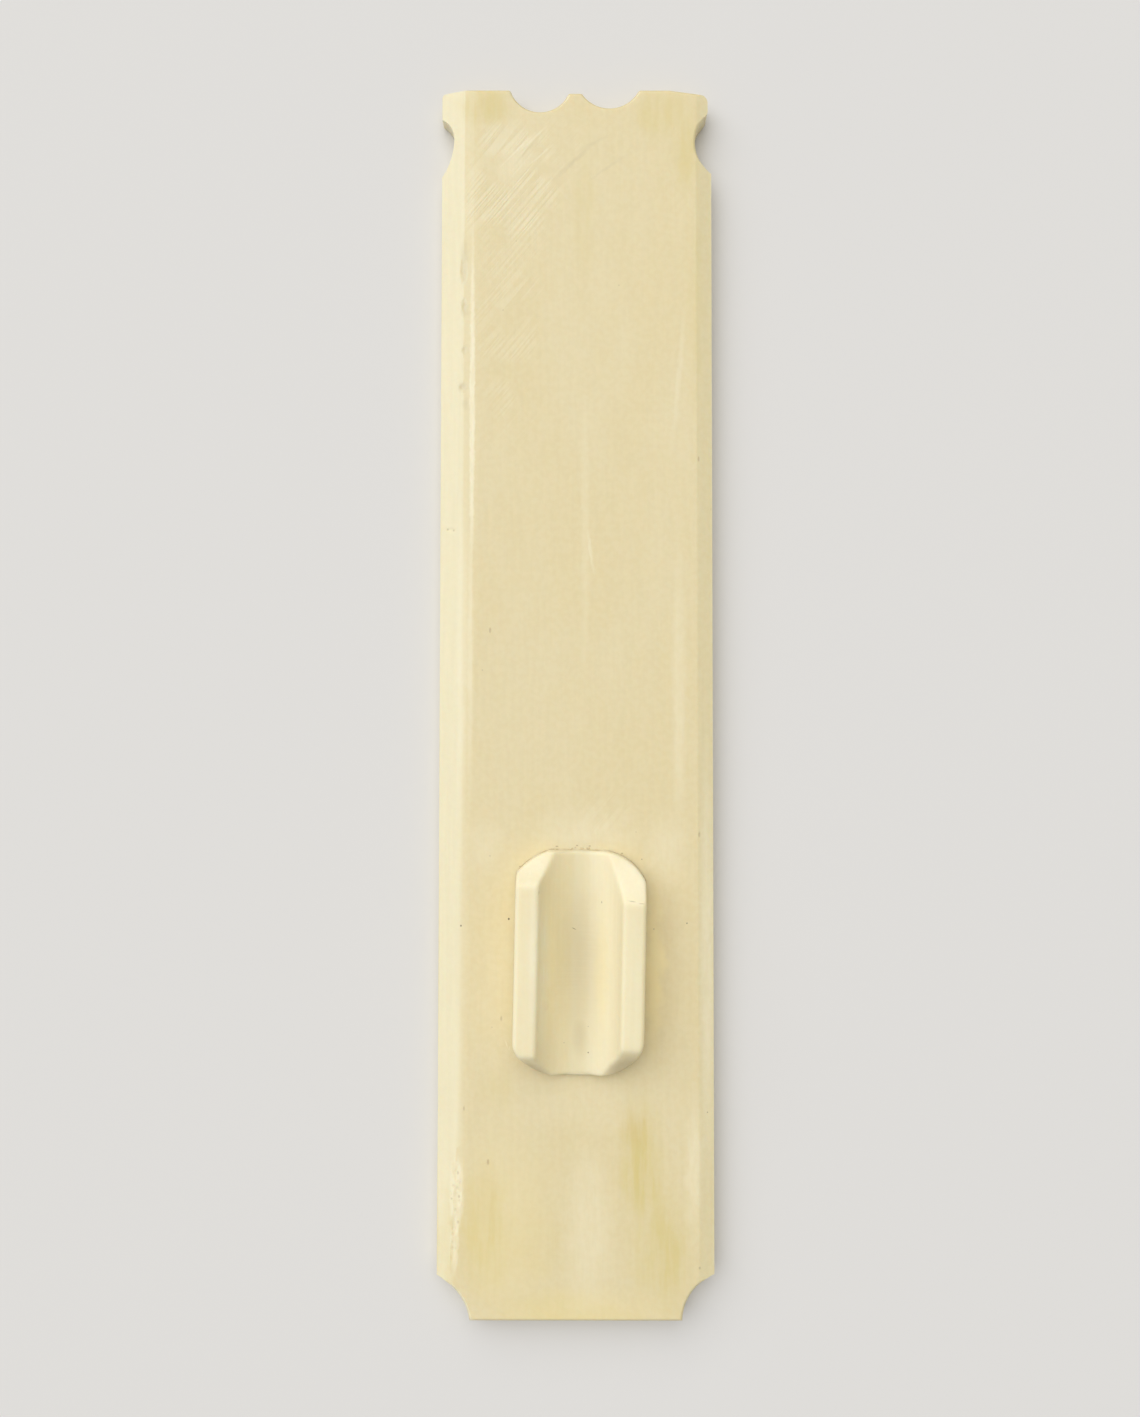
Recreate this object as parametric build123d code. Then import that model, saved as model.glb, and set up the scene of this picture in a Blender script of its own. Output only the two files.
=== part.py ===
from build123d import *
import os

# A bone rest for trimming reed pens: a long flat tablet with eared head and hollowed foot corners,
# and a small block with a round trough, glued on near the foot, that steadies the pen under the knife.
# Millimetres. The underside is z = 0, the head points to +Y, and the origin is under the middle.

# Tablet
plate_length = 150.0
plate_width = 33.4
plate_thickness = 3.5
edge_break = 0.25

# Ears at the head: the left one runs flat to its corner, the right one falls away and is worn rounder
ear_shoulder = 11.5
ear_fall = 0.65
ear_inset = 0.43
ear_corner_left = 0.5
ear_corner_right = 1.0
ear_lip_right = 0.8
ear_inner_corner = 0.4

# Scallops that part the ears, and the crest's tip between them
scallop_offset_left = 4.5
scallop_offset_right = 4.1
scallop_radius_left = 3.85
scallop_radius_right = 4.1
scallop_depth_left = 2.74
scallop_depth_right = 2.25
tip_drop = 0.4
tip_corner = 0.4

# Necks filed into both sides below the ears: how deep, how far down, and the reach of each arc
neck_depth_left = 1.55
neck_depth_right = 2.04
neck_level_left = 5.9
neck_level_right = 6.6
neck_rise_left = 2.7
neck_rise_right = 4.1
neck_run_left = 4.55
neck_run_right = 3.75

# Coves that take off the foot's corners
cove_width_left = 4.0
cove_width_right = 3.9
cove_height_left = 5.25
cove_height_right = 5.4
cove_radius_left = 6.65
cove_radius_right = 5.8

# Left bevel: a main facet and a flatter one inside it, both shrinking towards the foot
left_bevel_width = 2.9
left_bevel_drop = 1.0
left_ease_width = 1.45
left_ease_drop = 0.25
bevel_even_length = 51.0
bevel_turn_length = 126.0
bevel_turn_share = 0.865
bevel_foot_share = 0.40

# Right bevel: one narrow facet
right_bevel_width = 1.85
right_bevel_drop = 0.5

# Pen rest
rest_length = 26.8
rest_width = 15.5
rest_height = 4.9
rest_from_foot = 29.4
rest_off_axis = 0.45
rest_skew = 1.08
rail_edge = 0.4
trough_radius = 5.0
trough_floor = 0.6
trough_lip = 0.2

# Corners of the rest: how far each runs along the end, drops along the side, and the radius it bows to
head_left_run = 4.0
head_left_drop = 2.7
head_left_bow = 8.35
head_right_run = 4.9
head_right_drop = 3.45
head_right_bow = 6.3
foot_left_run = 4.5
foot_left_drop = 4.0
foot_left_bow = 7.0
foot_right_run = 5.0
foot_right_drop = 5.0
foot_right_bow = 5.4
corner_ease = 0.5

# Scoops that take the rails down to low end walls: a hollow up to the knee, then a short flat ramp
head_wall = 1.75
head_left_radius = 5.5
head_left_knee = 3.5
head_left_ramp = 0.5
head_right_radius = 20.0
head_right_knee = 5.3
head_right_ramp = 0.5
foot_wall = 1.35
foot_scoop_radius = 9.5
foot_left_knee = 2.6
foot_left_ramp = 0.45
foot_right_knee = 3.5
foot_right_ramp = 0.5
ramp_drop = 0.35

# Glue between the rest and the tablet
glue_thickness = 0.1
glue_squeeze = 0.2

# Room by which a cutter runs past the stock
clear = 1.0

head = plate_length / 2
foot = -plate_length / 2
side = plate_width / 2


def blank_outline():
    """The tablet's plan before filing: square on the left, the right ear drawn in and falling away."""
    points = (
        (-side, foot),
        (side, foot),
        (side, head - neck_level_right),
        (side - ear_inset, head - neck_level_right),
        (side - ear_inset, head - ear_fall),
        (ear_shoulder, head),
        (-side, head),
    )
    return make_face(Polyline(*points, close=True))


def scallop(offset, radius, depth):
    """A round hollow of the head, its lowest point the given depth below the head line."""
    return Pos(offset, head - depth + radius) * Circle(radius)


def neck(hand, depth, level, rise, run):
    """The hollow below an ear: two arcs that meet upright at its deepest point."""
    edge = hand * side
    outside = hand * (side + clear)
    deepest = (edge - hand * depth, head - level)
    upper_lip = (edge, head - level + rise)
    lower_lip = (edge, head - level - run)
    upper_arc = TangentArc(deepest, upper_lip, tangent=(0, 1))
    lower_arc = TangentArc(deepest, lower_lip, tangent=(0, -1))
    mouth = Polyline(upper_lip, (outside, upper_lip[1]), (outside, lower_lip[1]), lower_lip)
    return make_face([upper_arc, *mouth.edges(), lower_arc])


def round_hollow(start, end, away, radius):
    """A disc of a given radius through two points, its centre on the side that a direction points to."""
    start = Vector(*start)
    end = Vector(*end)
    half = (end - start).length / 2
    across = Vector(start.Y - end.Y, end.X - start.X).normalized()
    if across.dot(Vector(*away)) < 0:
        across = -across
    centre = (start + end) / 2 + across * (radius**2 - half**2) ** 0.5
    return Pos(centre.X, centre.Y) * Circle(radius)


def cove(hand, width, height, radius):
    """The round hollow of a foot corner, struck from a centre outside the tablet."""
    on_side = (hand * side, foot + height)
    on_foot = (hand * (side - width), foot)
    return round_hollow(on_side, on_foot, (hand, -1), radius)


def rounded(plan, x, y, radius):
    """A plan with the corner nearest a point rounded."""
    corner = plan.vertices().sort_by_distance((x, y, 0))[0]
    return fillet(corner, radius)


def scallop_corner(offset, radius, depth, hand, drop):
    """Where a scallop's edge crosses the level that lies the given drop below the head line."""
    rise = radius - depth + drop
    return offset + hand * (radius**2 - rise**2) ** 0.5, head - drop


def tablet_outline():
    """The tablet's finished plan."""
    left_scallop = (-scallop_offset_left, scallop_radius_left, scallop_depth_left)
    right_scallop = (scallop_offset_right, scallop_radius_right, scallop_depth_right)
    plan = blank_outline()
    plan -= scallop(*left_scallop)
    plan -= scallop(*right_scallop)
    tip_width = scallop_offset_left + scallop_offset_right
    tip_middle = (scallop_offset_right - scallop_offset_left) / 2
    plan -= Pos(tip_middle, head) * Rectangle(tip_width, 2 * tip_drop)
    plan -= neck(-1, neck_depth_left, neck_level_left, neck_rise_left, neck_run_left)
    plan -= neck(1, neck_depth_right, neck_level_right, neck_rise_right, neck_run_right)
    plan -= cove(-1, cove_width_left, cove_height_left, cove_radius_left)
    plan -= cove(1, cove_width_right, cove_height_right, cove_radius_right)
    plan = rounded(plan, -side, head, ear_corner_left)
    plan = rounded(plan, side - ear_inset, head - ear_fall, ear_corner_right)
    plan = rounded(plan, side - ear_inset, head - neck_level_right + neck_rise_right, ear_lip_right)
    plan = rounded(plan, *scallop_corner(*left_scallop, -1, 0), ear_inner_corner)
    plan = rounded(plan, *scallop_corner(*right_scallop, 1, 0), ear_inner_corner)
    plan = rounded(plan, *scallop_corner(*left_scallop, 1, tip_drop), tip_corner)
    plan = rounded(plan, *scallop_corner(*right_scallop, -1, tip_drop), tip_corner)
    return plan


def left_bevel_waste(station, share):
    """Section of what the left bevel takes off at one station, its two facets at a share of full size."""
    inner = -side + share * (left_bevel_width + left_ease_width)
    knee = -side + share * left_bevel_width
    knee_height = plate_thickness - share * left_ease_drop
    outside = -side - clear
    outside_height = knee_height - left_bevel_drop / left_bevel_width * (knee - outside)
    top = plate_thickness + clear
    points = (
        (inner, plate_thickness),
        (knee, knee_height),
        (outside, outside_height),
        (outside, top),
        (inner, top),
    )
    return Plane.XZ.offset(-station) * make_face(Polyline(*points, close=True))


def left_bevel():
    """The left bevel's waste: even for the first stretch, then narrowing slowly, and faster near the foot."""
    stations = (
        (head + clear, 1.0),
        (head - bevel_even_length, 1.0),
        (head - bevel_turn_length, bevel_turn_share),
        (foot - clear, bevel_foot_share),
    )
    return loft([left_bevel_waste(*station) for station in stations], ruled=True)


def right_bevel():
    """The right bevel's waste, a plain wedge."""
    outside = side + clear
    drop_outside = right_bevel_drop / right_bevel_width * (right_bevel_width + clear)
    top = plate_thickness + clear
    points = (
        (side - right_bevel_width, plate_thickness),
        (outside, plate_thickness - drop_outside),
        (outside, top),
        (side - right_bevel_width, top),
    )
    wedge = Plane.XZ * make_face(Polyline(*points, close=True))
    return extrude(wedge, plate_length / 2 + clear, both=True)


def base_plate():
    """The tablet: its plan extruded, its outline eased top and bottom, and both long sides bevelled."""
    plate = extrude(tablet_outline(), plate_thickness)
    faces = plate.faces().sort_by(Axis.Z)
    plate = chamfer(faces[0].edges() + faces[-1].edges(), edge_break)
    return plate - left_bevel() - right_bevel()


def rest_outline():
    """Plan of the rest about its own middle: straight sides and ends joined by bowed corners, all eased."""
    x = rest_width / 2
    y = rest_length / 2
    corners = (
        ((-x, y - head_left_drop), (-x + head_left_run, y), head_left_bow),
        ((x - head_right_run, y), (x, y - head_right_drop), head_right_bow),
        ((x, -y + foot_right_drop), (x - foot_right_run, -y), foot_right_bow),
        ((-x + foot_left_run, -y), (-x, -y + foot_left_drop), foot_left_bow),
    )
    edges = []
    for index, (start, end, bow) in enumerate(corners):
        next_start = corners[(index + 1) % len(corners)][0]
        edges.append(RadiusArc(start, end, bow))
        edges.append(Line(end, next_start))
    plan = make_face(edges)
    return fillet(plan.vertices(), corner_ease)


def trough():
    """The round-bottomed groove along the rest, straight-sided above its axis, with both lips cut back."""
    axis_height = trough_floor + trough_radius
    width = 2 * trough_radius
    lip_height = rest_height - trough_lip
    below_axis = max(axis_height - lip_height, 0)
    lip = (trough_radius**2 - below_axis**2) ** 0.5
    spread = trough_lip + clear
    mouth = (
        (-lip, lip_height),
        (lip, lip_height),
        (lip + spread, lip_height + spread),
        (-lip - spread, lip_height + spread),
    )
    section = Pos(0, axis_height) * Circle(trough_radius)
    section += Pos(0, axis_height + trough_radius) * Rectangle(width, width)
    section += make_face(Polyline(*mouth, close=True))
    return extrude(Plane.XZ * section, rest_length / 2 + clear, both=True)


def scoop(hand, end, wall, radius, knee, ramp):
    """The waste that ends one rail: hand is -1 for left and 1 for right, end is 1 for head and -1 for foot."""
    tip = end * rest_length / 2
    top = rest_height + clear
    bend = (tip - end * knee, rest_height - ramp_drop)
    high = (bend[0] - end * ramp, rest_height)
    hollow = round_hollow((tip, wall), bend, (end, 1), radius)
    above_ramp = make_face(Polyline(bend, high, (high[0], top), (bend[0], top), close=True))
    section = Plane.YZ * (hollow + above_ramp)
    return extrude(section, hand * (rest_width / 2 + clear))


def pen_rest():
    """The grooved block, with eased rails and a scoop at each end of each rail."""
    block = extrude(rest_outline(), rest_height)
    block = fillet(block.faces().sort_by(Axis.Z)[-1].edges(), rail_edge)
    block -= trough()
    block -= scoop(-1, 1, head_wall, head_left_radius, head_left_knee, head_left_ramp)
    block -= scoop(1, 1, head_wall, head_right_radius, head_right_knee, head_right_ramp)
    block -= scoop(-1, -1, foot_wall, foot_scoop_radius, foot_left_knee, foot_left_ramp)
    block -= scoop(1, -1, foot_wall, foot_scoop_radius, foot_right_knee, foot_right_ramp)
    return block


def glue_film():
    """The glue under the rest, squeezed out a little all round it."""
    return extrude(offset(rest_outline(), glue_squeeze), glue_thickness)


glue_seat = Pos(rest_off_axis, foot + rest_from_foot + rest_length / 2, plate_thickness) * Rot(0, 0, -rest_skew)
rest_seat = Pos(0, 0, glue_thickness) * glue_seat

parts = {
    "base_plate": base_plate(),
    "glue_film": glue_seat * glue_film(),
    "pen_rest": rest_seat * pen_rest(),
}

os.makedirs("parts", exist_ok=True)
for name, solid in parts.items():
    export_step(solid, f"parts/{name}.step")
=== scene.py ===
"""Looks of a bone rest for cutting reed pens: a filed tablet, a grooved block and the glue between them."""

import logging
import math
from dataclasses import dataclass
from enum import Enum
from random import Random

import bmesh
import bpy
from mathutils import Euler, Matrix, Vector, noise


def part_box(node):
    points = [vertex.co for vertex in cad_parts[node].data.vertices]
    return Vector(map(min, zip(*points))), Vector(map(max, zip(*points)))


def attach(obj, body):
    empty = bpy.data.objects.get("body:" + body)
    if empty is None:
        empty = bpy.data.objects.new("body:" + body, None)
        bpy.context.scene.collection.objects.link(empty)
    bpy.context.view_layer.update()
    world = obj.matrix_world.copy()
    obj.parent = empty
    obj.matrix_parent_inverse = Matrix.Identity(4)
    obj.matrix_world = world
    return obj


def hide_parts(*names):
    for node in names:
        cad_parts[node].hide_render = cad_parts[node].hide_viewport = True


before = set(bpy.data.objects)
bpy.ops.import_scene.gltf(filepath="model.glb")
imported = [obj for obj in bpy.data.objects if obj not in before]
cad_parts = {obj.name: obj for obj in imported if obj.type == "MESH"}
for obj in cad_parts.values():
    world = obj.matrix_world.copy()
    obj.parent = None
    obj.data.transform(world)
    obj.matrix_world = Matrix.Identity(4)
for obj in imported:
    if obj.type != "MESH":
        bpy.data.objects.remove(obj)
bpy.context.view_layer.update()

log = logging.getLogger("pen_rest")

Colour = tuple[float, float, float]
Solid = bmesh.types.BMesh
Piece = bpy.types.Object
Material = bpy.types.Material
Tree = bpy.types.NodeTree
Socket = bpy.types.NodeSocket
Feed = Socket | float | tuple[float, ...]

# Metres in a millimetre, then sizes in millimetres and angles in degrees.
MM = 0.001
ORIGIN = (0.0, 0.0, 0.0)
UPRIGHT = (0.0, 0.0, 1.0)
# Reaches past every piece.
EVERYWHERE = 1000.0
# The upright part of an upper face's normal is more than this.
UPWARD = 0.8
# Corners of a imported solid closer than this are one.
WELD = 0.01
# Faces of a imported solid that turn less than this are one.
FLAT = 0.6
# A cut leaves no shorter edge than this.
SLIVER = 0.002


class Slot(Enum):
    """The record's material slots."""

    TABLET = "bone_tablet"
    BLOCK = "bone_block"
    GLUE = "hide_glue"


class Tint(Enum):
    """What marks the bone, as the linear colour that it turns it; some of the marks laid with these tints
    are painted light or shade.
    """

    CHALK_AND_LIGHT = (0.96, 0.89, 0.66)
    OCHRE = (0.72, 0.60, 0.24)
    AMBER = (0.97, 0.82, 0.42)
    HONEY = (0.64, 0.45, 0.19)
    SHADE = (0.60, 0.51, 0.31)
    RUST = (0.28, 0.16, 0.07)
    SOOT = (0.12, 0.09, 0.05)


@dataclass(frozen=True)
class Mark:
    """One mark on a piece, seen from above, in millimetres and degrees of the row's frame.

    Attributes:
        x: Place across the tablet.
        y: Place along the tablet.
        half_length: Reach from its middle along its own line.
        half_width: Reach from its middle across that line.
        turn: How far its line is turned from the tablet's length, towards the left.
        strength: How much of the tint shows at its middle.
        soft: Share of its reach over which it fades out.
    """

    x: float
    y: float
    half_length: float
    half_width: float
    turn: float = 0.0
    strength: float = 0.5
    soft: float = 0.8


@dataclass(frozen=True)
class Dent:
    """One shallow pit or worn hollow, in millimetres of the row's frame.

    Attributes:
        x: Place across the tablet.
        y: Place along the tablet.
        half_length: Reach along the tablet.
        half_width: Reach across the tablet.
        depth: How deep its middle lies.
    """

    x: float
    y: float
    half_length: float
    half_width: float
    depth: float


class NodeDesk:
    """Draws one node tree with short calls: each adds a node and hands back what it puts out."""

    def __init__(self, tree: Tree) -> None:
        """Take up an empty tree."""
        self.tree = tree

    def add(self, kind: str, **settings: object) -> bpy.types.Node:
        """Add a node.

        Args:
            kind: Blender's name of the node type.
            **settings: Properties of the node and their values.

        Returns:
            The new node.
        """
        node = self.tree.nodes.new(kind)
        for name, value in settings.items():
            setattr(node, name, value)
        return node

    def wire(self, socket: Socket, value: Feed) -> None:
        """Link an output to a socket, or write a plain value on it.

        Args:
            socket: The input to feed.
            value: What feeds it.
        """
        if isinstance(value, Socket):
            self.tree.links.new(value, socket)
        else:
            socket.default_value = value

    def fed(self, kind: str, *values: Feed, output: int | str = 0, **settings: object) -> Socket:
        """Add a node and feed its inputs in their order.

        Args:
            kind: Blender's name of the node type.
            *values: What its first inputs take.
            output: Which output to hand back.
            **settings: Properties of the node and their values.

        Returns:
            That output.
        """
        node = self.add(kind, **settings)
        for socket, value in zip(node.inputs, values):
            self.wire(socket, value)
        return node.outputs[output]

    def math(self, operation: str, *values: Feed) -> Socket:
        """Combine numbers by Blender's name of the sum to do."""
        return self.fed("ShaderNodeMath", *values, operation=operation)

    def vector(self, operation: str, *values: Feed) -> Socket:
        """Combine vectors by Blender's name of the sum to do, of which LENGTH gives a number."""
        output = "Value" if operation == "LENGTH" else "Vector"
        return self.fed("ShaderNodeVectorMath", *values, output=output, operation=operation)

    def scaled(self, value: Feed, factor: float) -> Socket:
        """Multiply a vector by a number."""
        return self.fed("ShaderNodeVectorMath", value, ORIGIN, ORIGIN, factor, operation="SCALE")

    def fade(self, value: Feed, start: Feed, stop: Feed, low: Feed = 0.0, high: Feed = 1.0) -> Socket:
        """Ease from low to high while a value goes from start to stop."""
        ends = (value, start, stop, low, high)
        return self.fed("ShaderNodeMapRange", *ends, interpolation_type="SMOOTHSTEP")

    def turned(self, place: Feed, angle: Feed) -> Socket:
        """Turn a place about the upright axis through the origin, by radians."""
        return self.fed("ShaderNodeVectorRotate", place, ORIGIN, UPRIGHT, angle, rotation_type="Z_AXIS")

    def joined(self, x: Feed, y: Feed, z: Feed) -> Socket:
        """Make a vector of three numbers."""
        return self.fed("ShaderNodeCombineXYZ", x, y, z)

    def clouds(self, place: Feed, scale: float, detail: float = 2.0, output: str = "Fac") -> Socket:
        """Soft noise between nought and one, where scale is its waves per unit of the place."""
        feeds = (place, 0.0, scale, detail)
        return self.fed("ShaderNodeTexNoise", *feeds, output=output, noise_dimensions="3D")

    def tinted(self, base: Feed, tint: Feed, share: Feed) -> Socket:
        """Lay a share of one colour over another.

        Args:
            base: Colour underneath.
            tint: Colour on top.
            share: How much of it shows.

        Returns:
            The mixed colour's output.
        """
        node = self.add("ShaderNodeMix", data_type="RGBA")
        factor, first, second = node.inputs[0], node.inputs[6], node.inputs[7]
        for socket, value in ((factor, share), (first, base), (second, tint)):
            self.wire(socket, (*value, 1.0) if isinstance(value, tuple) else value)
        return node.outputs[2]

    def effect(self, group: Tree, **feeds: Feed) -> Socket:
        """Place a shared group.

        Args:
            group: The group's tree.
            **feeds: Its inputs by name.

        Returns:
            The group's only output.
        """
        node = self.add("ShaderNodeGroup", node_tree=group)
        for name, value in feeds.items():
            self.wire(node.inputs[name.capitalize()], value)
        return node.outputs[0]


class Effects:
    """The shader groups that more than one finish uses, each built once."""

    def __init__(self) -> None:
        """Build every group."""
        self.spot = self._spot()
        self.fibres = self._fibres()
        self.scratches = self._scratches()
        self.pores = self._pores()
        self.drift = self._drift()

    @staticmethod
    def _start(
        name: str, inputs: dict[str, float | tuple[float, ...]], output: str
    ) -> tuple[NodeDesk, dict[str, Feed], Socket]:
        """Open a group with its named sockets.

        Args:
            name: The group's name.
            inputs: Its inputs and their plain values.
            output: The name of its one output.

        Returns:
            A desk on its tree, its inputs by name, and the socket that its result is wired to.
        """
        tree = bpy.data.node_groups.new(name, "ShaderNodeTree")
        for label, value in inputs.items():
            kind = "NodeSocketVector" if isinstance(value, tuple) else "NodeSocketFloat"
            socket = tree.interface.new_socket(label, in_out="INPUT", socket_type=kind)
            socket.default_value = value
        tree.interface.new_socket(output, in_out="OUTPUT", socket_type="NodeSocketFloat")
        desk = NodeDesk(tree)
        given = desk.add("NodeGroupInput").outputs
        return desk, {label: given[label] for label in inputs}, desk.add("NodeGroupOutput").inputs[output]

    def _spot(self) -> Tree:
        """One soft oval or line, laid over the marks before it.

        Returns:
            The group's tree.
        """
        reach = (1.0, 1.0, EVERYWHERE)
        inputs = {"Place": ORIGIN, "Middle": ORIGIN, "Reach": reach, "Turn": 0.0}
        inputs |= {"Soft": 0.5, "Strength": 1.0, "Before": 0.0}
        desk, given, result = self._start("soft_spot", inputs, "Mask")
        offset = desk.vector("SUBTRACT", given["Place"], given["Middle"])
        own = desk.turned(offset, desk.math("MULTIPLY", given["Turn"], -1.0))
        share = desk.vector("LENGTH", desk.vector("DIVIDE", own, given["Reach"]))
        inner = desk.math("SUBTRACT", 1.0, given["Soft"])
        mask = desk.math("MULTIPLY", desk.fade(share, 1.0, inner), given["Strength"])
        desk.wire(result, desk.math("MAXIMUM", given["Before"], mask))
        return desk.tree

    def _fibres(self) -> Tree:
        """Long faint streaks along the bone, between nought and one.

        Returns:
            The group's tree.
        """
        inputs = {"Place": ORIGIN, "Gap": 0.5, "Length": 20.0, "Seed": 0.0}
        desk, given, result = self._start("bone_fibres", inputs, "Value")
        across = desk.math("DIVIDE", 1.0, given["Gap"])
        along = desk.math("DIVIDE", 1.0, given["Length"])
        drawn = desk.vector("MULTIPLY", given["Place"], desk.joined(across, along, across))
        shifted = desk.vector("ADD", drawn, desk.joined(given["Seed"], given["Seed"], given["Seed"]))
        desk.wire(result, desk.fade(desk.clouds(shifted, 1.0, detail=3.0), start=0.3, stop=0.7))
        return desk.tree

    def _scratches(self) -> Tree:
        """Fine straight scratches that run one way and come and go.

        Returns:
            The group's tree.
        """
        inputs = {"Place": ORIGIN, "Turn": 0.0, "Gap": 0.3, "Length": 8.0, "Amount": 0.5}
        desk, given, result = self._start("fine_scratches", inputs, "Mask")
        own = desk.turned(given["Place"], desk.math("MULTIPLY", given["Turn"], -1.0))
        across = desk.math("DIVIDE", 1.0, given["Gap"])
        along = desk.math("DIVIDE", 1.0, given["Length"])
        drawn = desk.vector("MULTIPLY", own, desk.joined(across, along, 0.0))
        lines = desk.clouds(drawn, 1.0, detail=1.0)
        rarest, lowering, softness = 0.8, 0.4, 0.16
        start = desk.math("SUBTRACT", rarest, desk.math("MULTIPLY", given["Amount"], lowering))
        sharp = desk.fade(lines, start, desk.math("ADD", start, softness))
        patches = desk.fade(desk.clouds(own, scale=0.22, detail=1.0), start=0.35, stop=0.6)
        desk.wire(result, desk.math("MULTIPLY", sharp, patches))
        return desk.tree

    def _pores(self) -> Tree:
        """Sparse pinholes, drawn out along the bone, in a few of the cells that they fall in.

        Returns:
            The group's tree.
        """
        inputs = {"Place": ORIGIN, "Gap": 1.5, "Length": 2.5, "Size": 0.12, "Share": 0.3}
        desk, given, result = self._start("bone_pores", inputs, "Mask")
        across = desk.math("DIVIDE", 1.0, given["Gap"])
        along = desk.math("DIVIDE", across, given["Length"])
        drawn = desk.vector("MULTIPLY", given["Place"], desk.joined(across, along, across))
        cells = desk.add("ShaderNodeTexVoronoi", voronoi_dimensions="3D", feature="F1")
        desk.wire(cells.inputs["Vector"], drawn)
        cells.inputs["Scale"].default_value = 1.0
        chance = desk.fed("ShaderNodeSeparateColor", cells.outputs["Color"])
        kept = desk.math("LESS_THAN", chance, given["Share"])
        bottom_share = 0.4
        bottom = desk.math("MULTIPLY", given["Size"], bottom_share)
        hole = desk.fade(cells.outputs["Distance"], given["Size"], bottom)
        desk.wire(result, desk.math("MULTIPLY", hole, kept))
        return desk.tree

    def _drift(self) -> Tree:
        """Slow change of tone over the bone, between nought and one.

        Returns:
            The group's tree.
        """
        inputs = {"Place": ORIGIN, "Size": 12.0, "Seed": 0.0}
        desk, given, result = self._start("slow_drift", inputs, "Mask")
        across = desk.math("DIVIDE", 1.0, given["Size"])
        lengthwise = 0.45
        along = desk.math("MULTIPLY", across, lengthwise)
        drawn = desk.vector("MULTIPLY", given["Place"], desk.joined(across, along, across))
        shifted = desk.vector("ADD", drawn, desk.joined(given["Seed"], 0.0, given["Seed"]))
        desk.wire(result, desk.fade(desk.clouds(shifted, 1.0, detail=3.0), start=0.35, stop=0.65))
        return desk.tree


def blank_material(name: str) -> tuple[Material, NodeDesk, Socket]:
    """Open a new material.

    Args:
        name: The material's name.

    Returns:
        The material, a desk on its empty tree, and the place on the piece in millimetres.
    """
    made = bpy.data.materials.new(name)
    made.use_nodes = True
    made.node_tree.nodes.clear()
    desk = NodeDesk(made.node_tree)
    place = desk.scaled(desk.fed("ShaderNodeTexCoord", output="Object"), 1 / MM)
    return made, desk, place


def bumped(desk: NodeDesk, relief: Feed) -> Socket:
    """Turn a relief in millimetres into a normal.

    Args:
        desk: Desk of the material's tree.
        relief: The relief's output.

    Returns:
        The normal's output.
    """
    bump = desk.add("ShaderNodeBump")
    desk.wire(bump.inputs["Distance"], MM)
    desk.wire(bump.inputs["Height"], relief)
    return bump.outputs[0]


def surfaced(desk: NodeDesk, settings: dict[str, Feed]) -> None:
    """Finish a material with its shader.

    Args:
        desk: Desk of the material's tree.
        settings: The shader's inputs by name.
    """
    shine = desk.add("ShaderNodeBsdfPrincipled")
    for name, value in settings.items():
        desk.wire(shine.inputs[name], value)
    desk.wire(desk.add("ShaderNodeOutputMaterial").inputs["Surface"], shine.outputs[0])


@dataclass(frozen=True)
class Canvas:
    """What a bone's features are drawn with.

    Attributes:
        desk: Desk of the material's tree.
        effects: The shared groups.
        places: Place in millimetres, by the least half width of the marks whose edges wander with it.
        above: One everywhere but on the underside.
    """

    desk: NodeDesk
    effects: Effects
    places: dict[float, Feed]
    above: Feed


class Fine(Enum):
    """A fine feature of the bone, as the millimetres that it stands above the face, or below it."""

    FIBRES = 0.005
    SCRATCHES = -0.022
    HAIRLINES = -0.003
    PORES = -0.03
    CELLS = -0.04
    GRAIN = 0.004
    SWELL = 0.03


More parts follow.
